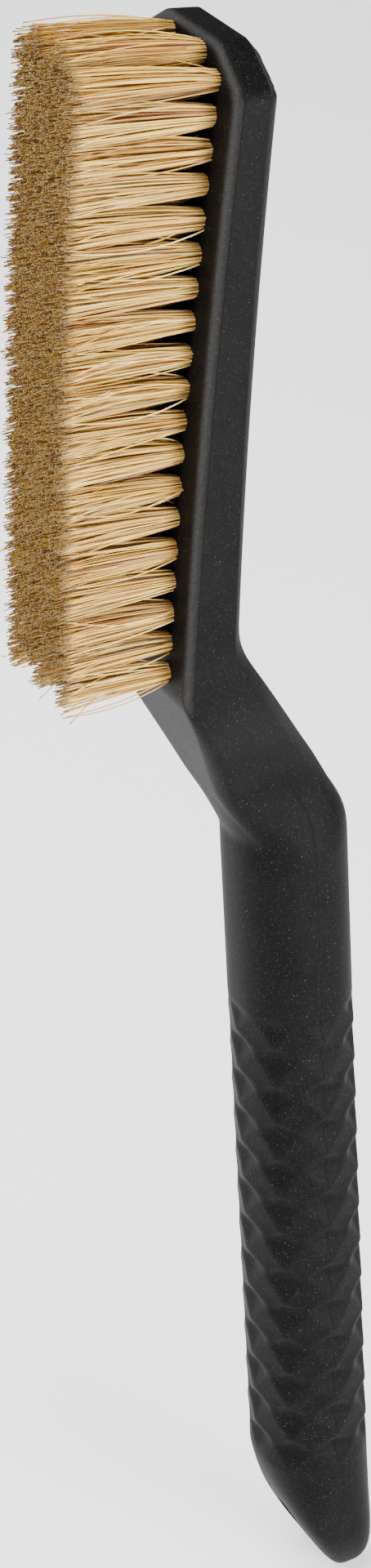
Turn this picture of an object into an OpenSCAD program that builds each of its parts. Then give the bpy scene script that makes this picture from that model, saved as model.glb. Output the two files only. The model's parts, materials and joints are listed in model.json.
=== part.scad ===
// Hand scrubbing brush: a one-piece moulded body with a bowed, tapering head, a dog-leg neck and a
// faceted grip, filled with bristle tufts that are folded over wire anchors in blind holes.
// Frame: +Z up towards the head, bristles point to -Y, X is the width. The origin is on the axis of
// the lanyard hole, in the middle of the handle.

/* [Head] */
// Length of the tufted head, from its top end to the neck
head_len = 83.5; // [68:0.5:104]
// Width of the head
head_w = 25.8; // [22:0.1:34]
// Thickness of the head at its top end
head_t_top = 6.3; // [5.6:0.1:9]
// Thickness of the head where it meets the neck
head_t_base = 8.2; // [7:0.1:12]
// Radius of the lengthwise bow of the tufted face
bow_r = 1014; // [600:2:3000]
// Width of the straight edge across the top end
nose_w = 12.6; // [8:0.1:16]
// Drop of the sloping corners at the top end
nose_drop = 4.4; // [2:0.1:6]
// Rounding of the top end's corners
nose_r = 3; // [1:0.1:4]

/* [Tufts] */
// Distance from the top end to the first row of tufts
first_row = 2.6; // [2.2:0.1:5]
// Distance from the last row of tufts to the neck
last_row = 3.2; // [2:0.1:6]
// Distance from the outer column of tufts to the side of the head
side_margin = 5.1; // [3:0.1:7]
// Radius of a blind tuft hole
hole_r = 1.2; // [0.8:0.05:1.4]
// Depth of a blind tuft hole
hole_depth = 4.2; // [3:0.1:4.6]
// Radial clearance between a tuft and its hole
tuft_clear = 0.05; // [0.02:0.01:0.1]
// Free length of the bristles at the top end
bristle_top = 18.5; // [12:0.1:26]
// Free length of the bristles next to the neck
bristle_base = 13.7; // [10:0.1:24]
// Gap between the spread ends of neighbouring tufts
tip_gap = 0.9; // [0.1:0.05:1.6]

/* [Anchors] */
// Length of an anchor, which is wider than the hole so that it bites into both walls
anchor_len = 2.8; // [2.6:0.1:3.2]
// Thickness of the anchor's flat wire
anchor_t = 0.35; // [0.2:0.05:0.5]
// Height of the anchor's flat wire
anchor_h = 1.3; // [0.8:0.1:1.6]
// Height of the folded bristles under an anchor
anchor_seat = 0.8; // [0.5:0.1:1.2]
// Clearance between an anchor and the bristles on each side
anchor_clear = 0.04; // [0.02:0.01:0.1]

/* [Neck] */
// How far the neck rises from the handle to the head
neck_rise = 27.2; // [18:0.5:36]
// How far the neck carries the tufted face forwards
neck_reach = 15.7; // [8:0.1:22]
// How much higher the neck's back corner is than its front corner at the head
neck_back_rise = 6.2; // [2:0.1:8]
// How much higher the neck's back corner is than the crease at the handle
neck_skew = 1.6; // [0:0.1:4]

/* [Handle] */
// Length of the handle from the lanyard hole up to the neck
handle_len = 118.8; // [110:0.1:150]
// Lean of the handle from the line of the head, in degrees
handle_lean = 8; // [0:0.5:14]
// Width of the handle
handle_w = 16.6; // [14:0.1:22]
// Thickness of the handle from front to back
handle_t = 16; // [13:0.1:21]
// Length of the handle below the lanyard hole
end_len = 11.4; // [8:0.1:16]
// Height above the lanyard hole where the sloping end cut starts
cut_start = 13.5; // [8:0.1:15]
// Depth of the sloping end cut at the tip
cut_depth = 10.4; // [6:0.1:12]
// Radius of the lanyard hole
lanyard_r = 2.15; // [1.5:0.05:2.6]

/* [Grip] */
// Number of rows of facets
grip_rows = 13; // [8:1:13]
// Height of one row of facets
grip_pitch = 6.2; // [5:0.1:6.2]
// Height of the lowest row of facets above the lanyard hole
grip_start = 17.3; // [16:0.1:24]
// How far the lower point of a facet stands out of the handle
point_out = 0.35; // [0.1:0.05:0.8]
// How far the middle of a facet's top edge sinks into the handle
edge_in = 0.55; // [0.1:0.05:0.8]

/* [Hidden] */
$fn = 32;
rows = 38;                      // rows of two tufts and of three tufts take turns, starting with two
sides = 16;                     // points round one ring of the neck and handle
lap = 2.5;                      // how far the neck's top end reaches into the head
skin = 0.2;                     // how far that end stays below the head's faces
boxy = 6;                       // squareness of the neck's section; 2 is an ellipse
oval = 2.3;                     // squareness of the handle's section
cut_bow = 1.4;                  // 1 is a straight end cut, more is hollower
point_drop = 0.69;              // height of a facet as a share of the pitch
side_in = 0.2;                  // how far the handle sinks between two neighbouring points
end_taper = 0.12;               // share of the width that the end cut takes off at the tip
end_blunt = 0.07;               // how blunt the tip is; 0 is a point
end_lift = 2.6;                 // how far the back edge of the tip is rounded off
corner_steps = 6;
bow_steps = 8;

row_step = (head_len - first_row - last_row) / (rows - 1);
column_step = (head_w / 2 - side_margin) / 2;
tuft_r = hole_r - tuft_clear;
tip_r = min(2 * row_step, norm([row_step, column_step])) / 2 - tip_gap / 2;

// Places in the side view are [y, z].
axis_up = [-sin(handle_lean), cos(handle_lean)];
axis_back = [cos(handle_lean), sin(handle_lean)];
function on_handle(up, back) = axis_up * up + axis_back * back;
neck_front = on_handle(handle_len, -handle_t / 2);
neck_back = on_handle(handle_len + neck_skew, handle_t / 2);
head_front = neck_front + [-neck_reach, neck_rise];
// Middle of the tufted face, where the bow is nearest to the bristle tips
bow_sag = bow_r - sqrt(bow_r * bow_r - head_len * head_len / 4);
face_mid = head_front + [-bow_sag, head_len / 2];

// The tufted face follows an arc; s is the distance down it from the top end.
function face_turn(s) = (s - head_len / 2) / bow_r * 180 / PI;
function on_face(s, depth = 0) = face_mid
    + [bow_r * (1 - cos(face_turn(s))) + depth * cos(face_turn(s)),
       -bow_r * sin(face_turn(s)) + depth * sin(face_turn(s))];
function head_t(s) = head_t_top + (head_t_base - head_t_top) * s / head_len;
function bristle_len(s) = bristle_top + (bristle_base - bristle_top) * s / head_len;
function row_place(i) = first_row + i * row_step;
function row_columns(i) = i % 2 == 0 ? [-1, 1] : [-2, 0, 2];

// Rounds the corners of a polygon with arcs; radii has one value for each corner.
function unit(v) = v / norm(v);
function corner_arc(a, p, b, r) =
    let (u = unit(a - p), v = unit(b - p), half = acos(u * v) / 2,
         c = p + unit(u + v) * r / sin(half),
         from = p + u * r / tan(half) - c, to = p + v * r / tan(half) - c,
         start = atan2(from.y, from.x), raw = atan2(to.y, to.x) - start,
         sweep = raw > 180 ? raw - 360 : raw < -180 ? raw + 360 : raw)
    [for (k = [0:corner_steps]) c + r * [cos(start + sweep * k / corner_steps),
                                         sin(start + sweep * k / corner_steps)]];
function rounded(pts, radii) = [for (i = [0:len(pts) - 1])
    each radii[i] == 0 ? [pts[i]]
        : corner_arc(pts[(i + len(pts) - 1) % len(pts)], pts[i], pts[(i + 1) % len(pts)], radii[i])];

// One ring of the neck or handle, between a front and a back point of the side view.
function swell(v, square) = sign(v) * pow(abs(v), 2 / square);
function ring(front, back, half_w, square, crowns = [0, 0]) =
    let (mid = (front + back) / 2, reach = (back - front) / 2)
    [for (j = [0:sides - 1])
        let (turn = 360 * j / sides, grow = 1 + crowns[j % 2] / norm(reach),
             across = -swell(cos(turn), square) * grow)
        [half_w * swell(sin(turn), square) * grow, (mid + reach * across).x, (mid + reach * across).y]];

// Depth of the sloping end cut, and how the end narrows below the lanyard hole
function cut_at(up) = up >= cut_start ? 0
    : cut_depth * pow((cut_start - up) / (cut_start + end_len), cut_bow);
function end_round(up) = up >= 0 ? 1 : sqrt(1 - (1 - end_blunt) * pow(up / end_len, 2));
function end_ring(up) = ring(on_handle(up, cut_at(up) - handle_t / 2),
    on_handle(up, handle_t / 2 - (up < 0 ? end_lift * pow(up / end_len, 6) : 0)),
    handle_w / 2 * end_round(up) * (1 - end_taper * cut_at(up) / cut_depth), oval);
function handle_ring(up, crowns) = ring(on_handle(up, -handle_t / 2), on_handle(up, handle_t / 2),
    handle_w / 2, oval, crowns);
function neck_ring(f) =
    let (ease = (1 - cos(180 * f)) / 2,
         back_end = on_face(head_len - neck_back_rise, head_t(head_len - neck_back_rise)))
    ring(neck_front + (head_front + [skin, 0] - neck_front) * f,
         neck_back + (back_end - [skin, 0] - neck_back) * f,
         handle_w / 2 + (head_w / 2 - skin - handle_w / 2) * ease, oval + (boxy - oval) * ease);

end_ups = [for (k = [-1, -0.95, -0.83, -0.6, -0.3, 0]) k * end_len, 0.5 * cut_start];
end_rings = [for (up = end_ups) end_ring(up)];
grip_rings = [for (i = [0:grip_rows - 1]) each
    [handle_ring(grip_start + (i - point_drop) * grip_pitch, [point_out, -side_in]),
     handle_ring(grip_start + i * grip_pitch, [-edge_in, 0])]];
top_rings = [handle_ring(grip_start + (grip_rows - 0.4) * grip_pitch, [0, 0]),
    for (k = [0:6]) neck_ring(k / 6),
    [for (p = neck_ring(1)) [p.x, p.y, p.z + lap]]];
rings = concat(end_rings, grip_rings, top_rings);
first_grip = len(end_rings);

// Two triangles for each patch between rings i and i + 1. The split follows the facets: the lower
// points of the facets are on the even columns and their upper corners are on the odd ones.
function patch(i, j) =
    let (k = (j + 1) % sides, a = i * sides + j, b = i * sides + k,
         c = a + sides, d = b + sides,
         points_below = (i - first_grip) % 2 == 0,
         split_ad = (j % 2 == 0) == points_below)
    split_ad ? [[a, d, b], [a, c, d]] : [[a, c, b], [b, c, d]];
skin_faces = [for (i = [0:len(rings) - 2], j = [0:sides - 1]) each patch(i, j)];
bottom_face = [for (j = [0:sides - 1]) j];
top_face = [for (j = [sides - 1:-1:0]) (len(rings) - 1) * sides + j];

// Head as a plate: its side view with the bow and the taper, trimmed to its outline from the front
module head_plate() {
    back_s = head_len - neck_back_rise;
    side_view = concat(
        [for (k = [0:bow_steps]) on_face(head_len * k / bow_steps)],
        [for (k = [bow_steps:-1:0]) on_face(back_s * k / bow_steps, head_t(back_s * k / bow_steps))]);
    top = on_face(0).y;
    low = head_front.y - 1;
    outline = rounded(
        [[-head_w / 2, low], [-head_w / 2, top - nose_drop], [-nose_w / 2, top],
         [nose_w / 2, top], [head_w / 2, top - nose_drop], [head_w / 2, low]],
        [0, nose_r, nose_r, nose_r, nose_r, 0]);
    intersection() {
        rotate([90, 0, 90]) linear_extrude(head_w + 2, center = true) polygon(side_view);
        translate([0, face_mid.x, 0]) rotate([90, 0, 0])
            linear_extrude(8 * head_t_base, center = true) polygon(outline);
    }
}

module neck_and_handle() {
    polyhedron([for (r = rings) each r], concat([bottom_face, top_face], skin_faces));
}

// Places its children at a tuft, with -Y pointing along the bristles and the origin on the face
module at_tuft(i, column) {
    place = on_face(row_place(i));
    translate([column * column_step, place.x, place.y])
        rotate([face_turn(row_place(i)), 0, 0]) children();
}

module along_bristles(from, h, r1, r2) {
    translate([0, -from, 0]) rotate([90, 0, 0]) cylinder(h = h, r1 = r1, r2 = r2);
}

module anchor_blank(t, h) {
    translate([-anchor_len / 2, hole_depth - anchor_seat - h, -t / 2]) cube([anchor_len, h, t]);
}

module tuft(i) {
    long = bristle_len(row_place(i));
    difference() {
        union() {
            along_bristles(-hole_depth, hole_depth, tuft_r, tuft_r);
            along_bristles(0, long, tuft_r, tip_r);
        }
        translate([0, anchor_clear, 0])
            anchor_blank(anchor_t + 2 * anchor_clear, anchor_h + 2 * anchor_clear);
    }
}

module body() {
    color([0.09, 0.09, 0.095]) difference() {
        union() {
            head_plate();
            neck_and_handle();
        }
        for (i = [0:rows - 1], c = row_columns(i)) at_tuft(i, c) {
            along_bristles(-hole_depth, hole_depth + 1, hole_r, hole_r);
            anchor_blank(anchor_t, anchor_h);
        }
        rotate([90, 0, 0]) cylinder(h = 4 * handle_t, r = lanyard_r, center = true);
    }
}

module anchors() {
    color([0.72, 0.7, 0.66])
        for (i = [0:rows - 1], c = row_columns(i)) at_tuft(i, c) anchor_blank(anchor_t, anchor_h);
}

module tuft_row(n) {
    color([0.86, 0.74, 0.5]) for (c = row_columns(n - 1)) at_tuft(n - 1, c) tuft(n - 1);
}

body();
anchors();
for (n = [1:rows]) tuft_row(n);
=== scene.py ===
import json
import math

import bpy
import numpy as np
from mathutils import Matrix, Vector

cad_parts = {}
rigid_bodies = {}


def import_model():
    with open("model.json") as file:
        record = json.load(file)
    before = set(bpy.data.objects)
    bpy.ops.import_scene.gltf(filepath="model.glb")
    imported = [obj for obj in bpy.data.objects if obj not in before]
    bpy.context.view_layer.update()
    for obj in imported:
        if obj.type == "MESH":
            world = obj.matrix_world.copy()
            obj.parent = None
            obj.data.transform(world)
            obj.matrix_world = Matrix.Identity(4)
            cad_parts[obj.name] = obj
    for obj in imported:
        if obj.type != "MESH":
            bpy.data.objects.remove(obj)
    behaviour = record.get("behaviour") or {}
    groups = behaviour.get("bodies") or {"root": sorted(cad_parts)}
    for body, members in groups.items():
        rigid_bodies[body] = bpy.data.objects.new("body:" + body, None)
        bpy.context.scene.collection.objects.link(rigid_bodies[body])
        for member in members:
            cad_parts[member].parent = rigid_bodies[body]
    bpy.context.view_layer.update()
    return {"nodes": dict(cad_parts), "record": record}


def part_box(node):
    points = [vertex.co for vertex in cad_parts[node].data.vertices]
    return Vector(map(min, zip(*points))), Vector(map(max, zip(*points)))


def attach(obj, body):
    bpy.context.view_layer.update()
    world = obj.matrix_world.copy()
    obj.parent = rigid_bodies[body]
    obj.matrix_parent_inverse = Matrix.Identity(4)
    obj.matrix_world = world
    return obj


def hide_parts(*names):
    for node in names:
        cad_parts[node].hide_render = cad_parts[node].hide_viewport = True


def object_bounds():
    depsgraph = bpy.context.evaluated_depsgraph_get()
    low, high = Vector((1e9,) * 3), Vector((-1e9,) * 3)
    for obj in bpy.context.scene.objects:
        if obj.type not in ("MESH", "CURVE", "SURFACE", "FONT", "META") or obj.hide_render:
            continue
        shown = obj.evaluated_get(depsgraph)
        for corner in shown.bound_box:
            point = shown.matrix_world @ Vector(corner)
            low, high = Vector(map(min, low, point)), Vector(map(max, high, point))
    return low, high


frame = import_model()

# ---- Viewpoint ------------------------------------------------------------------------------
# A long lens a little above the brush, to the right of the bristles, so that the side of the
# head, the bristle tips and the front of the grip all show.
camera_lens = bpy.data.cameras.new("camera")
camera = bpy.data.objects.new("camera", camera_lens)
bpy.context.collection.objects.link(camera)
camera.location = (0.4160, -0.2752, 0.3830)
camera.rotation_euler = (1.07796, -0.07687, 1.08227)
camera_lens.sensor_width = 36
camera_lens.lens = 97.8
bpy.context.scene.camera = camera

# ---- Moulded body ---------------------------------------------------------------------------
# One injection moulding in near-black plastic: a bowed head that thickens towards a dog-leg neck,
# a grip with thirteen rows of facets, and an end that is cut away in front of the lanyard hole.
# Lengths are in metres, and mm is one millimetre.
mm = 0.001
body_low, body_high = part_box("body")
head_length, head_width = 83.5 * mm, body_high.x - body_low.x
head_top_thickness, head_base_thickness = 6.3 * mm, 8.2 * mm
bow_radius = 1014 * mm
nose_width, nose_drop, nose_blend = 12.6 * mm, 4.4 * mm, (0.6 * mm, 1.6 * mm)
rim_radius, back_chamfer, chamfer_bulge = 1.1 * mm, 1.7 * mm, 0.25
neck_back_rise, neck_skew = 6.2 * mm, 1.6 * mm
neck_radius = 2.6 * mm
handle_length, handle_width, handle_thickness = 118.8 * mm, 16.6 * mm, 16 * mm
handle_lean = math.radians(8)
end_length, end_lift, end_taper, end_sharpness = 11.4 * mm, 2.6 * mm, 0.12, 0.985
cut_start, cut_depth, cut_bow = 13.5 * mm, 10.4 * mm, 1.4
handle_roundness, cut_roundness = 2.3, 4.6
grip_rows, grip_pitch, grip_start = 13, 6.2 * mm, 17.3 * mm
point_out, edge_in, side_in, point_drop = 0.38 * mm, 0.90 * mm, 0.22 * mm, 0.69

axis_up = np.array([-math.sin(handle_lean), math.cos(handle_lean)])
axis_back = np.array([math.cos(handle_lean), math.sin(handle_lean)])


def on_handle(up, back):
    """The (y, z) place at a height up the handle and a distance behind its middle."""
    return np.outer(up, axis_up) + np.outer(back, axis_back)


face_middle = np.array([body_low.y, body_high.z - head_length / 2])


def on_face(down, depth):
    """The (y, z) place at a distance down the bowed face and a depth behind it."""
    turn = (np.asarray(down) - head_length / 2) / bow_radius
    y = face_middle[0] + bow_radius * (1 - np.cos(turn)) + depth * np.cos(turn)
    z = face_middle[1] - bow_radius * np.sin(turn) + depth * np.sin(turn)
    return np.stack([y, z], -1)


def soft_min(a, b, width):
    """The smaller of two distances, rounded over a width where they meet."""
    near = np.clip(width - np.abs(a - b), 0, None)
    return np.minimum(a, b) - near**2 / (4 * width)


def rim_distance(x, down):
    """How far inside the head's outline a place is; the outline has sloping top corners."""
    slope = np.array([nose_drop, (head_width - nose_width) / 2])
    slope = slope / np.linalg.norm(slope)
    corner = (nose_width / 2 - np.abs(x)) * slope[0] + down * slope[1]
    inside = soft_min(np.asarray(down, float), corner, nose_blend[0])
    return soft_min(inside, head_width / 2 - np.abs(x), nose_blend[1])


# How the points round one section are shared out from the front to the back, on one side
half_points = 80
corner_from, corner_to, chamfer_from, chamfer_to = 18, 28, 54, 63
step_angle = np.pi * np.arange(half_points + 1) / half_points


def swell(value, roundness):
    return np.sign(value) * np.abs(value) ** (2 / roundness)


def oval_section(half_width, front_round, back_round=handle_roundness):
    """Half of an oval section as (x, -1 in front to 1 at the back)."""
    across, along = np.sin(step_angle), -np.cos(step_angle)
    roundness = np.where(along < 0, front_round, back_round)
    return half_width * swell(across, roundness), swell(along, roundness)


def plate_section(half_width, thickness, front_radius, chamfer):
    """Half of a plate's section as (x, depth), with a round front edge and a chamfered back."""
    x, depth = np.zeros(half_points + 1), np.zeros(half_points + 1)
    x[: corner_from + 1] = np.linspace(0, half_width - front_radius, corner_from + 1)
    turn = np.linspace(0, np.pi / 2, corner_to - corner_from + 1)
    x[corner_from : corner_to + 1] = half_width - front_radius * (1 - np.sin(turn))
    depth[corner_from : corner_to + 1] = front_radius * (1 - np.cos(turn))
    x[corner_to : chamfer_from + 1] = half_width
    depth[corner_to : chamfer_from + 1] = np.linspace(
        front_radius, thickness - chamfer, chamfer_from - corner_to + 1
    )
    turn = np.linspace(0, np.pi / 2, chamfer_to - chamfer_from + 1)
    share = turn / (np.pi / 2)
    x[chamfer_from : chamfer_to + 1] = half_width - chamfer * (
        share + chamfer_bulge * (1 - np.cos(turn) - share)
    )
    depth[chamfer_from : chamfer_to + 1] = thickness - chamfer * (
        1 - share - chamfer_bulge * (np.sin(turn) - share)
    )
    x[chamfer_to:] = np.linspace(half_width - chamfer, 0, half_points + 1 - chamfer_to)
    depth[chamfer_to:] = thickness
    return x, depth


def smooth_step(value):
    value = np.clip(value, 0, 1)
    return value * value * (3 - 2 * value)


# The stations from the tip of the handle to the top of the head: front and back of the side view
tip_stations, handle_stations, neck_stations, head_stations, top_stations = 34, 228, 62, 150, 34
top_share = 0.07
tip_turn = np.linspace(0.02, np.pi / 2, tip_stations)[::-1]
ups = np.concatenate([
    -end_length * np.sin(tip_turn),
    np.linspace(0.4 * mm, handle_length - 0.2 * mm, handle_stations),
])
gone = np.clip(-ups / end_length, 0, 1)
cut = cut_depth * (np.clip(cut_start - ups, 0, None) / (cut_start + end_length)) ** cut_bow
front_n = cut - handle_thickness / 2
back_n = handle_thickness / 2 - end_lift * gone**6
middle_n, reach_n = (front_n + back_n) / 2, (back_n - front_n) / 2
reach_n = reach_n * np.sqrt(1 - end_sharpness * gone**8)
handle_front = on_handle(ups, middle_n - reach_n)
skew = neck_skew * smooth_step(ups / handle_length * 4 - 3)
handle_back = on_handle(ups + skew, middle_n + reach_n)
handle_half = handle_width / 2 * np.sqrt(1 - end_sharpness * gone**2) * (
    1 - end_taper * cut / cut_depth)

neck_steps = np.linspace(0, 1, neck_stations)
neck_front = on_handle([handle_length], [-handle_thickness / 2])[0]
neck_back = on_handle([handle_length + neck_skew], [handle_thickness / 2])[0]
head_front = on_face(head_length, 0)
head_back_down = head_length - neck_back_rise


def thickness_at(down):
    """The head's thickness at a distance down from its top."""
    return head_top_thickness + (head_base_thickness - head_top_thickness) * down / head_length


head_back = on_face(head_back_down, thickness_at(head_back_down))
neck_fronts = neck_front + (head_front - neck_front) * neck_steps[:, None]
neck_backs = neck_back + (head_back - neck_back) * neck_steps[:, None]

head_steps = np.concatenate([
    np.linspace(1, top_share, head_stations)[1:],
    top_share * (1 - np.sin(np.linspace(0, np.pi / 2, top_stations)[1:])),
])
head_fronts = on_face(head_length * head_steps, 0)
head_backs = on_face(head_back_down * head_steps, thickness_at(head_back_down * head_steps))

fronts = np.concatenate([handle_front, neck_fronts, head_fronts])
backs = np.concatenate([handle_back, neck_backs, head_backs])
first_neck, first_head = len(ups), len(ups) + len(neck_steps)


def round_bends(line, bends, widths):
    """Rounds a side-view line at its bends by averaging it over a width of places."""
    done = line.copy()
    for bend, width in zip(bends, widths):
        for i in range(max(bend - 4 * width, 1), min(bend + 4 * width, len(line) - 1)):
            reach = min(width, 4 * width - abs(i - bend))
            if reach > 0:
                weights = np.hanning(2 * reach + 3)[1:-1]
                done[i] = weights @ line[i - reach : i + reach + 1] / weights.sum()
    return done


front_bend_widths, back_bend_widths = (3, 4), (9, 9)
fronts = round_bends(fronts, [first_neck, first_head], front_bend_widths)
backs = round_bends(backs, [first_neck, first_head], back_bend_widths)

# Each section goes from an oval on the handle to a plate on the head.
down = np.concatenate([np.full(first_head, head_length), head_length * head_steps])
widening = (head_width - handle_width) / 2
plate_early, plate_over, flat_gain, outline_steps = 0.15, 0.5, 2.2, 400
top_edge_height, top_edge_blend = 6 * mm, 1.5 * mm
rings = []
for i in range(len(fronts)):
    place = min((i - first_neck) / (len(neck_steps) - 1), 1)
    ease = smooth_step((place + plate_early) / plate_over)
    if i < first_neck:
        half_width = handle_half[i]
        flatness = smooth_step(flat_gain * cut[i] / cut_depth)
        front_round = handle_roundness + (cut_roundness - handle_roundness) * flatness
    else:
        half_width = handle_width / 2 + widening * (1 - math.cos(math.pi * place)) / 2
        front_round = handle_roundness
    span = backs[i] - fronts[i]
    long = np.linalg.norm(span)
    section_x, along = oval_section(half_width, front_round)
    depth = (along + 1) / 2 * long
    if ease > 0:
        top_down = down[i]
        outline = np.linspace(0, head_width / 2, outline_steps)
        edge = rim_distance(outline, top_down)
        plate_half = np.interp(0, edge[::-1], outline[::-1]) if i >= first_head else half_width
        plate_half = plate_half * half_width / (head_width / 2) if i < first_head else plate_half
        front_radius = neck_radius + (rim_radius - neck_radius) * smooth_step(place * 1.6 - 0.6)
        plate_x, plate_depth = plate_section(plate_half, long, front_radius, back_chamfer)
        if i >= first_head:
            inside = np.clip(rim_distance(plate_x, top_down), 0, None)
            front = np.arange(half_points + 1) <= corner_to
            worn = np.clip(front_radius - inside, 0, None)
            rounded_edge = front_radius - np.sqrt(np.clip(front_radius**2 - worn**2, 0, None))
            slanted_edge = long - np.clip(back_chamfer - inside, 0, None)
            back = np.arange(half_points + 1) >= chamfer_from
            near_top = smooth_step((top_edge_height - top_down) / top_edge_blend)
            for part, edge_depth in ((front, rounded_edge), (back, slanted_edge)):
                eased = plate_depth + (edge_depth - plate_depth) * near_top
                plate_depth = np.where(part, eased, plate_depth)
        section_x = section_x + (plate_x - section_x) * ease
        depth = depth + (plate_depth - depth) * ease
    yz = fronts[i] + np.outer(depth / long, span)
    half = np.column_stack([section_x, yz])
    other = half[-2:0:-1] * [-1, 1, 1]
    rings.append(np.concatenate([half, other]))
rings = np.array(rings)

# The facets of the grip: a lattice of points and sunk edges, joined by flat triangles
columns, around = 16, 2 * half_points
lattice_ups = grip_start + grip_pitch * (
    np.arange(2 * grip_rows) // 2 - np.where(np.arange(2 * grip_rows) % 2 == 0, point_drop, 0))
turns = 2 * np.pi * np.arange(columns) / columns
lattice = []
for i, up in enumerate(lattice_ups):
    even, odd = (point_out, -side_in) if i % 2 == 0 else (-edge_in, 0)
    lift = np.where(np.arange(columns) % 2 == 0, even, odd)
    grow = 1 + lift / (handle_thickness / 2)
    n = -handle_thickness / 2 * swell(np.cos(turns), handle_roundness) * grow
    x = handle_width / 2 * swell(np.sin(turns), handle_roundness) * grow
    lattice.append(np.column_stack([x, on_handle(np.full(columns, up), n)]))
lattice = np.array(lattice)

grip = (ups > lattice_ups[0]) & (ups < lattice_ups[-1])
row_place = np.interp(ups[grip], lattice_ups, np.arange(len(lattice_ups)))
column_place = np.arange(around) * columns / around
row, column = np.floor(row_place).astype(int), np.floor(column_place).astype(int)
v, u = (row_place - row)[:, None, None], (column_place - column)[None, :, None]
a = lattice[row][:, column]
b = lattice[row][:, (column + 1) % columns]
c = lattice[row + 1][:, column]
d = lattice[row + 1][:, (column + 1) % columns]
rising = np.where(u > v, a + u * (b - a) + v * (d - b), a + v * (c - a) + u * (d - c))
falling = np.where(
    u + v < 1, a + u * (b - a) + v * (c - a), d + (1 - u) * (c - d) + (1 - v) * (b - d))
points_below = (row % 2 == 0)[:, None]
facets = np.where(((column % 2 == 0)[None] == points_below)[..., None], rising, falling)
soften = np.array([1, 2, 1]) / 4
facets = sum(w * np.roll(facets, k - 1, 1) for k, w in enumerate(soften))
padded = np.concatenate([facets[:1], facets, facets[-1:]])
facets = sum(w * padded[k : k + len(facets)] for k, w in enumerate(soften))
fade_below, fade_above = 0.55 * grip_pitch, 0.3 * grip_pitch
fade = smooth_step((ups[grip] - lattice_ups[0]) / fade_below) * smooth_step(
    (lattice_ups[-1] - ups[grip]) / fade_above)
where = np.flatnonzero(grip)
rings[where] += fade[:, None, None] * (facets - rings[where])

count = len(rings)
corners = [tuple(p) for ring in rings for p in ring]
faces = []
for i in range(count - 1):
    for j in range(around):
        k = (j + 1) % around
        p, q = i * around + j, i * around + k
        faces.append((p, q, q + around, p + around))
faces.append(tuple(range(around - 1, -1, -1)))
last = (count - 1) * around


def mirror(j):
    """The corner of the top section that faces corner j across the middle."""
    return last + (around - j) % around


for j in range(half_points):
    quad = [last + j, last + j + 1, mirror(j + 1), mirror(j)]
    faces.append(tuple(dict.fromkeys(quad)))
body_mesh = bpy.data.meshes.new("moulded_body")
body_mesh.from_pydata(corners, [], faces)
body_mesh.validate()
moulded_body = bpy.data.objects.new("moulded_body", body_mesh)
bpy.context.collection.objects.link(moulded_body)

# The tuft holes and the lanyard hole are cut in one go.
lanyard = next(m for m in frame["record"]["mounts"] if m["name"] == "lanyard_hole")
row_prefix = "tuft_row_"


def row_number(name):
    return int(name.removeprefix(row_prefix))


tuft_rows = sorted((name for name in frame["nodes"] if name.startswith(row_prefix)), key=row_number)
tuft_hole_radius, tuft_hole_depth, tuft_spread = 1.2 * mm, 4.2 * mm, 1.65 * mm
tufts = []
for name in tuft_rows:
    low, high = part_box(name)
    outer = (high.x - low.x) / 2 - tuft_spread
    for x in ((-outer, outer) if row_number(name) % 2 else (-outer, 0, outer)):
        tufts.append((name, x, low.y, (low.z + high.z) / 2))
head_top = on_face(0, 0)[1]


def tuft_root(z_middle):
    """Where a row that is centred on a height leaves the face, and the way its bristles point."""
    down_face = head_length / 2 + (face_middle[1] - z_middle)
    turn = (down_face - head_length / 2) / bow_radius
    root = on_face(down_face, 0)
    return root, np.array([-math.cos(turn), -math.sin(turn)]), down_face


cutter_corners, cutter_faces = [], []


def add_cutter(start, end, radius, sides):
    """Adds a round cutter from one place to another."""
    start, end = np.array(start), np.array(end)
    axis = (end - start) / np.linalg.norm(end - start)
    side = np.array([1.0, 0, 0])
    other_side = np.cross(axis, side)
    base = len(cutter_corners)
    angles = 2 * np.pi * np.arange(sides) / sides
    circle = radius * (np.outer(np.cos(angles), side) + np.outer(np.sin(angles), other_side))
    for share in (0, 1):
        cutter_corners.extend(map(tuple, start + (end - start) * share + circle))
    for j in range(sides):
        p, q = base + j, base + (j + 1) % sides
        cutter_faces.append((p, q, q + sides, p + sides))
    top = base + sides
    cutter_faces.append(tuple(range(base + sides - 1, base - 1, -1)))
    cutter_faces.append(tuple(range(top, top + sides)))


tuft_hole_sides, lanyard_sides = 18, 48
hole_overshoot, lanyard_reach = 1.2 * mm, 14 * mm
for _, x, _, z_middle in tufts:
    root, way, _ = tuft_root(z_middle)
    outside, inside = root + hole_overshoot * way, root - tuft_hole_depth * way
    add_cutter((x, *outside), (x, *inside), tuft_hole_radius, tuft_hole_sides)
hole_radius = lanyard["dims"]["r_mm"] * mm
add_cutter((0, -lanyard_reach, 0), (0, lanyard_reach, 0), hole_radius, lanyard_sides)
cutter_mesh = bpy.data.meshes.new("cutter")
cutter_mesh.from_pydata(cutter_corners, [], cutter_faces)
cutter = bpy.data.objects.new("cutter", cutter_mesh)
bpy.context.collection.objects.link(cutter)
cutting = moulded_body.modifiers.new("cutting", "BOOLEAN")
cutting.operation, cutting.solver, cutting.object = "DIFFERENCE", "MANIFOLD", cutter
now = moulded_body.evaluated_get(bpy.context.evaluated_depsgraph_get())
cut_mesh = bpy.data.meshes.new_from_object(now)
moulded_body.modifiers.remove(cutting)
moulded_body.data = cut_mesh
bpy.data.objects.remove(cutter)
cut_mesh.shade_smooth()
sharp_angle = math.radians(32)
cut_mesh.set_sharp_from_angle(angle=sharp_angle)


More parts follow.
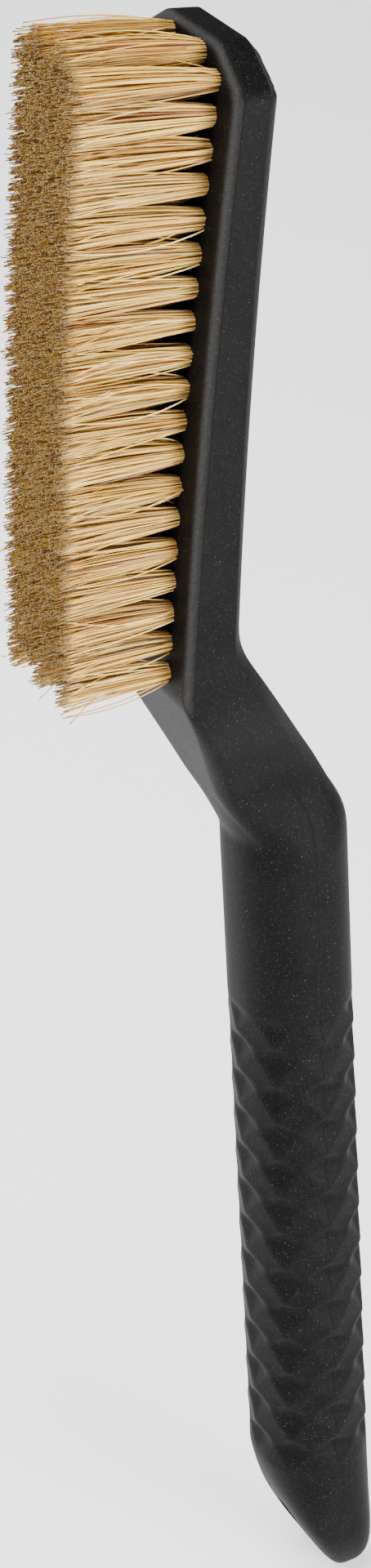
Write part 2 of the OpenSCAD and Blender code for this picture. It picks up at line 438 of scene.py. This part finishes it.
class Number:
    """A number in a material that changes over the surface. Sums with it add Math nodes."""

    def __init__(self, finish, socket):
        self.finish, self.socket = finish, socket

    def math(self, operation, *others, swap=False):
        values = [self, *others]
        if swap:
            values = values[::-1]
        made = self.finish.node("ShaderNodeMath", {"operation": operation}, dict(enumerate(values)))
        return Number(self.finish, made.outputs[0])

    def __add__(self, other):
        return self.math("ADD", other)

    def __sub__(self, other):
        return self.math("SUBTRACT", other)

    def __rsub__(self, other):
        return self.math("SUBTRACT", other, swap=True)

    def __mul__(self, other):
        return self.math("MULTIPLY", other)

    def __truediv__(self, other):
        return self.math("DIVIDE", other)

    __radd__, __rmul__ = __add__, __mul__

    def between(self, low, high):
        """0 below low, 1 above high and a soft slope from one to the other."""
        made = self.finish.node(
            "ShaderNodeMapRange",
            {"interpolation_type": "SMOOTHSTEP"},
            {"Value": self, "From Min": low, "From Max": high},
        )
        return Number(self.finish, made.outputs["Result"])


class Finish:
    """A material being built. Every node but a Math node comes from node()."""

    def __init__(self, name, **shader):
        self.material = bpy.data.materials.new(name)
        self.material.use_nodes = True
        self.tree = self.material.node_tree
        self.tree.nodes.clear()
        self.shader = self.node("ShaderNodeBsdfPrincipled", {}, shader)
        self.node("ShaderNodeOutputMaterial", {}, {"Surface": self.shader.outputs[0]})
        self.place = self.node("ShaderNodeTexCoord").outputs["Object"]

    def node(self, kind, settings=None, sockets=None):
        made = self.tree.nodes.new(kind)
        for name, value in (settings or {}).items():
            if name == "stops":
                ramp = made.color_ramp
                while len(ramp.elements) < len(value):
                    ramp.elements.new(0.5)
                for element, (position, colour) in zip(ramp.elements, value):
                    element.position, element.color = position, (*colour, 1)
            else:
                setattr(made, name, value)
        for name, value in (sockets or {}).items():
            name = name.replace("_", " ") if isinstance(name, str) else name
            self.set(made.inputs[name], value)
        return made

    def set(self, socket, value):
        if isinstance(value, Number):
            value = value.socket
        if isinstance(value, bpy.types.NodeSocket):
            self.tree.links.new(value, socket)
        elif isinstance(value, tuple) and len(value) == 3 and socket.type == "RGBA":
            socket.default_value = (*value, 1)
        else:
            socket.default_value = value

    def noise(self, scale, detail=2.0, stretch=None, roughness=0.5):
        vector = self.place
        if stretch:
            mapping = self.node("ShaderNodeMapping", {}, {"Vector": vector, "Scale": stretch})
            vector = mapping.outputs[0]
        made = self.node("ShaderNodeTexNoise", {}, {
            "Vector": vector, "Scale": scale, "Detail": detail, "Roughness": roughness})
        return Number(self, made.outputs["Fac"])

    def stored(self, name):
        made = self.node("ShaderNodeAttribute", {"attribute_name": name})
        return Number(self, made.outputs["Fac"])

    def mix(self, share, first, second):
        made = self.node("ShaderNodeMix", {"data_type": "RGBA"}, {0: share, 6: first, 7: second})
        return made.outputs[2]

    def finish(self, **links):
        for name, value in links.items():
            self.set(self.shader.inputs[name.replace("_", " ")], value)
        return self.material

    def bump(self, height, distance, strength=1.0):
        made = self.node("ShaderNodeBump", {}, {
            "Strength": strength, "Distance": distance, "Height": height})
        return made.outputs[0]


# Two values stored at every point for the plastic: the distance behind the parting line in
# millimetres, and a band on the head's front rim that is lightened partly for rubbing and partly as
# a painted highlight on the rounded edge
seam_behind_face, seam_behind_middle = 1.25 * mm, 0.2 * mm
rub_and_highlight_place, rub_and_highlight_across, rub_and_highlight_along = 0.35, 0.25, 0.4
co = np.empty(len(cut_mesh.vertices) * 3)
cut_mesh.vertices.foreach_get("co", co)
co = co.reshape(-1, 3)
z_here = co[:, 2]
front_y = np.interp(z_here, fronts[:, 1], fronts[:, 0])
seam_y_head = front_y + seam_behind_face
seam_y_handle = (seam_behind_middle - z_here * axis_back[1]) / axis_back[0]
up_neck = (z_here - (neck_front[1] + 2 * mm)) / (head_front[1] - neck_front[1] - 2 * mm)
blend_up = smooth_step(up_neck)
seam_y = seam_y_handle + (seam_y_head - seam_y_handle) * blend_up
seam = (co[:, 1] - seam_y) / mm
rim = rim_distance(co[:, 0], np.clip(head_top - z_here, 0, None)) / mm
depth_here = (co[:, 1] - front_y) / mm
on_head = smooth_step((z_here - head_front[1] + 2 * mm) / (3 * mm))
worn = np.exp(-((rim - rub_and_highlight_place) ** 2) / rub_and_highlight_across) * np.exp(
    -((depth_here - rub_and_highlight_place) ** 2) / rub_and_highlight_along) * on_head
for name, values in (("seam", seam), ("worn", worn)):
    stored = cut_mesh.attributes.new(name, "FLOAT", "POINT")
    stored.data.foreach_set("value", values.astype(np.float32))

plastic = Finish("moulded plastic", IOR=1.5, Specular_IOR_Level=0.05)
grain = plastic.noise(2600, 3, roughness=0.65)
patch = plastic.noise(140, 3)
specks = plastic.noise(5200, 1).between(0.70, 0.78)
line = plastic.stored("seam")
groove = 1 - line.math("ABSOLUTE").between(0.04, 0.14)
ridge = 1 - (line - 0.16).math("ABSOLUTE").between(0.03, 0.12)
dark = plastic.mix(patch.between(0.3, 0.7), (0.0020, 0.0020, 0.0021), (0.0038, 0.0036, 0.0034))
dark = plastic.mix(grain.between(0.45, 0.75) * 0.5, dark, (0.013, 0.0125, 0.012))
dark = plastic.mix(specks * 0.45, dark, (0.16, 0.16, 0.15))
# The front rim band is lightened: partly rubbing, partly a painted highlight on the rounded edge.
dark = plastic.mix(plastic.stored("worn") * (0.25 + 0.5 * grain), dark, (0.050, 0.049, 0.047))
# Painted shade: the colour is darkened along the groove of the parting line.
dark = plastic.mix(groove * 0.85, dark, (0.004, 0.004, 0.004))
body_material = plastic.finish(
    Base_Color=dark,
    Roughness=0.40 + 0.22 * grain + 0.06 * patch,
    Normal=plastic.bump(grain + ridge * 0.5 - groove * 0.9, 0.05 * mm, 0.8),
)
cut_mesh.materials.clear()
cut_mesh.materials.append(body_material)
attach(moulded_body, "root")
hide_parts("body")

# ---- Wire anchors ---------------------------------------------------------------------------
# Short pieces of flat steel wire, pressed across the bottom of every hole over the fold of the
# tuft. They bite into both walls of the hole and stay out of sight under the bristles.
steel = Finish("anchor wire", Metallic=1.0)
drawn = steel.noise(900, 3, stretch=(0.1, 1, 1))
wire_material = steel.finish(
    Base_Color=steel.mix(drawn.between(0.3, 0.7), (0.45, 0.44, 0.42), (0.62, 0.61, 0.58)),
    Roughness=0.28 + 0.2 * drawn,
)
anchors = frame["nodes"]["anchors"]
anchors.data.materials.clear()
anchors.data.materials.append(wire_material)

# ---- Bristle tufts --------------------------------------------------------------------------
# Natural straw-coloured bristle, folded over the anchors in rows of two and three. Each tuft is
# tight in its hole, fans out until it meets its neighbours and droops a little towards the grip.
hair_count, hair_radius, hair_steps = 130, 0.105 * mm, 7
root_radius, tip_half_width, tip_half_height = 1.12 * mm, 2.1 * mm, 2.45 * mm
buried, droop, lean_in = 1.5 * mm, 0.045, 0.16
fan_power, wild_power, thick_at_root, thinning = 0.82, 9.0, 1.12, 0.3
curl_reach, wild_curl, stray_reach, wild_stray = 0.28 * mm, 1.6 * mm, 0.42 * mm, 2.0 * mm
longest_share, shorter_share = 1.012, -0.045
first_seed, seed_step = 17, 31

hair = Finish("bristle", Roughness=0.42, IOR=1.5)
shade, along_hair = hair.stored("shade"), hair.stored("along")
straw = hair.node("ShaderNodeValToRGB", {"stops": [
    (0.0, (0.012, 0.007, 0.005)), (0.014, (0.03, 0.010, 0.005)), (0.022, (0.20, 0.045, 0.012)),
    (0.060, (0.34, 0.12, 0.03)), (0.11, (0.46, 0.20, 0.035)), (0.5, (0.66, 0.38, 0.055)),
    (0.85, (0.80, 0.53, 0.11)), (1.0, (0.90, 0.72, 0.30))]}, {"Fac": shade}).outputs["Color"]
streak = hair.noise(700, 2, stretch=(1, 0.12, 1))
straw = hair.mix(streak.between(0.35, 0.75) * 0.22, straw, (0.90, 0.70, 0.30))
straw = hair.mix(along_hair.between(0.94, 0.99) * 0.75, straw, (0.10, 0.058, 0.026))
# Painted shade: the hairs darken near their roots, where the tufts crowd together at the head.
straw = hair.mix((1 - along_hair.between(0.06, 0.24)) * 0.6, straw, (0.28, 0.15, 0.045))
bristle_material = hair.finish(Base_Color=straw, Roughness=0.36 + 0.25 * streak)


class Tree:
    """A Geometry Nodes tree being built."""

    def __init__(self, name, sizes):
        self.group = bpy.data.node_groups.new(name, "GeometryNodeTree")
        face = self.group.interface
        face.new_socket("Geometry", in_out="INPUT", socket_type="NodeSocketGeometry")
        self.ids = {}
        for size, (kind, value) in sizes.items():
            made = face.new_socket(size, in_out="INPUT", socket_type="NodeSocket" + kind)
            made.default_value = value
            self.ids[size] = made.identifier
        face.new_socket("Geometry", in_out="OUTPUT", socket_type="NodeSocketGeometry")
        self.inputs = self.group.nodes.new("NodeGroupInput").outputs
        self.end = self.group.nodes.new("NodeGroupOutput").inputs[0]

    def node(self, kind, settings=None, sockets=None, out=0):
        made = self.group.nodes.new(kind)
        for name, value in (settings or {}).items():
            setattr(made, name, value)
        for name, value in (sockets or {}).items():
            if isinstance(value, bpy.types.NodeSocket):
                self.group.links.new(value, made.inputs[name])
            else:
                made.inputs[name].default_value = value
        return made.outputs[out]

    def math(self, operation, a, b=0.0, c=0.0):
        return self.node("ShaderNodeMath", {"operation": operation}, {0: a, 1: b, 2: c})

    def vector(self, x, y, z):
        return self.node("ShaderNodeCombineXYZ", {}, {0: x, 1: y, 2: z})

    def random(self, low, high, seed):
        # The index keeps each hair apart from the others, and the seed each use from the others.
        made = self.group.nodes.new("FunctionNodeRandomValue")
        made.data_type = "FLOAT"
        made.inputs[2].default_value, made.inputs[3].default_value = low, high
        index = self.node("GeometryNodeInputIndex")
        self.group.links.new(index, made.inputs["ID"])
        self.group.links.new(seed, made.inputs["Seed"])
        return made.outputs[1]

    def store(self, geometry, name, value, kind="FLOAT", domain="POINT"):
        return self.node("GeometryNodeStoreNamedAttribute", {"data_type": kind, "domain": domain},
                         {"Geometry": geometry, "Name": name, "Value": value})

    def named(self, name, kind="FLOAT"):
        return self.node("GeometryNodeInputNamedAttribute", {"data_type": kind}, {"Name": name})


tree = Tree("bristle row", {
    "Hairs": ("Int", hair_count), "Steps": ("Int", hair_steps),
    "Hair Radius": ("Float", hair_radius),
    "Length": ("Float", 0.0185), "Root Radius": ("Float", root_radius),
    "Tip Half Width": ("Float", tip_half_width), "Tip Half Height": ("Float", tip_half_height),
    "Buried": ("Float", buried), "Droop": ("Float", droop), "Lean In": ("Float", lean_in),
    "Turn": ("Float", 0.0), "Seed": ("Int", 1)})
size = tree.inputs
points = tree.node("GeometryNodeMeshToPoints", {}, {"Mesh": size["Geometry"]})
points = tree.store(points, "tuft", tree.node("GeometryNodeInputPosition"), "FLOAT_VECTOR")
many = tree.node("GeometryNodeDuplicateElements", {"domain": "POINT"},
                 {"Geometry": points, "Amount": size["Hairs"]})


def seed_of(use):
    """A seed of its own for each thing that is drawn at random."""
    return tree.node("ShaderNodeMath", {"operation": "ADD"}, {0: size["Seed"], 1: float(use)})


spin = tree.random(0, 2 * math.pi, seed_of(1000))
out_share = tree.math("SQRT", tree.random(0, 1, seed_of(2000)))
for name, value in (
    ("disc_x", tree.math("MULTIPLY", out_share, tree.math("COSINE", spin))),
    ("disc_z", tree.math("MULTIPLY", out_share, tree.math("SINE", spin))),
    ("stray_x", tree.random(-1, 1, seed_of(3000))),
    ("stray_z", tree.random(-1, 1, seed_of(4000))),
    ("curl_x", tree.random(-1, 1, seed_of(5000))),
    ("curl_z", tree.random(-1, 1, seed_of(6000))),
    ("reach", tree.random(0, 1, seed_of(7000))),
    ("wild", tree.random(0, 1, seed_of(8000))),
    ("shade", tree.random(0, 1, seed_of(9000))),
):
    many = tree.store(many, name, value)
strand = tree.node("GeometryNodeCurvePrimitiveLine")
strand = tree.node("GeometryNodeResampleCurve", {}, {"Curve": strand, "Count": size["Steps"]})
strands = tree.node("GeometryNodeInstanceOnPoints", {}, {"Points": many, "Instance": strand})
strands = tree.node("GeometryNodeRealizeInstances", {}, {"Geometry": strands})
t = tree.node("GeometryNodeSplineParameter")


def add(a, b):
    return tree.math("ADD", a, b)


def times(a, b):
    return tree.math("MULTIPLY", a, b)


wild = tree.math("POWER", tree.named("wild"), wild_power)
reach = add(times(tree.math("POWER", tree.named("reach"), 2.0), shorter_share), longest_share)
sunk = times(tree.math("SUBTRACT", t, 1.0), size["Buried"])
out = add(times(t, times(size["Length"], reach)), sunk)
fan = tree.math("POWER", t, fan_power)
tuft_place = tree.node("ShaderNodeSeparateXYZ", {}, {0: tree.named("tuft", "FLOAT_VECTOR")})
tuft_xyz = tuft_place.node.outputs
wave = tree.math("SINE", times(t, math.pi))
bend = times(wave, add(times(wild, wild_curl), curl_reach))
stray = times(t, add(times(wild, wild_stray), stray_reach))


def spread(disc, stray_name, curl_name, tip_half):
    """How far a place on a hair is to one side of the middle of its tuft."""
    widening_here = times(fan, tree.math("SUBTRACT", size[tip_half], size["Root Radius"]))
    fanned = times(tree.named(disc), add(size["Root Radius"], widening_here))
    strayed = add(fanned, times(tree.named(stray_name), stray))
    return add(strayed, times(tree.named(curl_name), bend))


side_x = add(spread("disc_x", "stray_x", "curl_x", "Tip Half Width"),
             times(tuft_xyz[0], tree.math("SUBTRACT", 1.0, times(t, size["Lean In"]))))
drooped = times(times(t, t), times(size["Length"], times(size["Droop"], -1.0)))
side_z = add(spread("disc_z", "stray_z", "curl_z", "Tip Half Height"), drooped)
cosine, sine = tree.math("COSINE", size["Turn"]), tree.math("SINE", size["Turn"])
hair_y = add(tuft_xyz[1], tree.math("SUBTRACT", times(side_z, sine), times(out, cosine)))
hair_z = add(tuft_xyz[2], tree.math("SUBTRACT", times(side_z, cosine), times(out, sine)))
strands = tree.node("GeometryNodeSetPosition", {}, {
    "Geometry": strands, "Position": tree.vector(side_x, hair_y, hair_z)})
strands = tree.store(strands, "along", t)
taper = times(size["Hair Radius"], tree.math("SUBTRACT", thick_at_root, times(t, thinning)))
ring = tree.node("GeometryNodeCurvePrimitiveCircle", {}, {"Resolution": 3, "Radius": 1.0})
hairs = tree.node("GeometryNodeCurveToMesh", {}, {
    "Curve": strands, "Profile Curve": ring, "Fill Caps": True, "Scale": taper})
hairs = tree.node("GeometryNodeSetShadeSmooth", {}, {"Geometry": hairs})
hairs = tree.node("GeometryNodeRealizeInstances", {}, {"Geometry": hairs})
hairs = tree.node("GeometryNodeSetMaterial", {}, {"Geometry": hairs, "Material": bristle_material})
tree.group.links.new(hairs, tree.end)

for number, name in enumerate(tuft_rows):
    own = [place for row, *place in tufts if row == name]
    _, y_tip, z_middle = own[0]
    root, _, down_face = tuft_root(z_middle)
    seed_mesh = bpy.data.meshes.new(name)
    seed_mesh.from_pydata([(x, root[0], root[1]) for x, *_ in own], [], [])
    row_object = bpy.data.objects.new("bristles_" + name.removeprefix(row_prefix), seed_mesh)
    bpy.context.collection.objects.link(row_object)
    nodes = row_object.modifiers.new("bristles", "NODES")
    nodes.node_group = tree.group
    nodes[tree.ids["Length"]] = root[0] - y_tip
    nodes[tree.ids["Turn"]] = (down_face - head_length / 2) / bow_radius
    nodes[tree.ids["Seed"]] = first_seed + seed_step * number
    now = row_object.evaluated_get(bpy.context.evaluated_depsgraph_get())
    made = bpy.data.meshes.new_from_object(now)
    row_object.modifiers.remove(nodes)
    row_object.data = made
    for unused in [x.name for x in made.attributes if x.name in (
            "tuft", "disc_x", "disc_z", "stray_x", "stray_z", "curl_x", "curl_z", "reach", "wild")]:
        made.attributes.remove(made.attributes[unused])
    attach(row_object, "root")
    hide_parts(name)

# ---- Floor and light ------------------------------------------------------------------------
# A plain pale floor under the tip of the handle and three soft lights: the strongest above, and a
# low one on each side, so that the black plastic shows its shape.
floor_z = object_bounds()[0].z
floor_mesh = bpy.data.meshes.new("floor")
far = 6.0
floor_corners = [(x * far, y * far, floor_z) for x, y in ((-1, -1), (1, -1), (1, 1), (-1, 1))]
floor_mesh.from_pydata(floor_corners, [], [(0, 1, 2, 3)])
floor = bpy.data.objects.new("floor", floor_mesh)
bpy.context.collection.objects.link(floor)
paper = Finish("floor paper", Roughness=0.9, Emission_Color=(1, 1, 1, 1), Emission_Strength=0.8)
floor_mesh.materials.append(paper.finish(
    Base_Color=paper.mix(paper.noise(6, 2), (0.93, 0.93, 0.93), (0.95, 0.95, 0.95))))

world = bpy.data.worlds.new("studio")
world.use_nodes = True
world.node_tree.nodes["Background"].inputs[0].default_value = (1, 1, 1, 1)
world.node_tree.nodes["Background"].inputs[1].default_value = 0.35
bpy.context.scene.world = world

lit_place = Vector((0, 0, 0.1))


def soft_light(name, place, size, power):
    """A square light that faces the brush."""
    lamp = bpy.data.lights.new(name, "AREA")
    lamp.shape, lamp.size, lamp.energy = "SQUARE", size, power
    made = bpy.data.objects.new(name, lamp)
    made.location = place
    made.rotation_euler = (lit_place - Vector(place)).to_track_quat("-Z", "Y").to_euler()
    bpy.context.collection.objects.link(made)


soft_light("light_above", (0.1, -0.5, 1.1), 0.8, 26)
soft_light("light_left", (-0.7, -0.8, 0.2), 0.6, 16)
soft_light("light_right", (0.9, 0.3, 0.15), 0.5, 24)
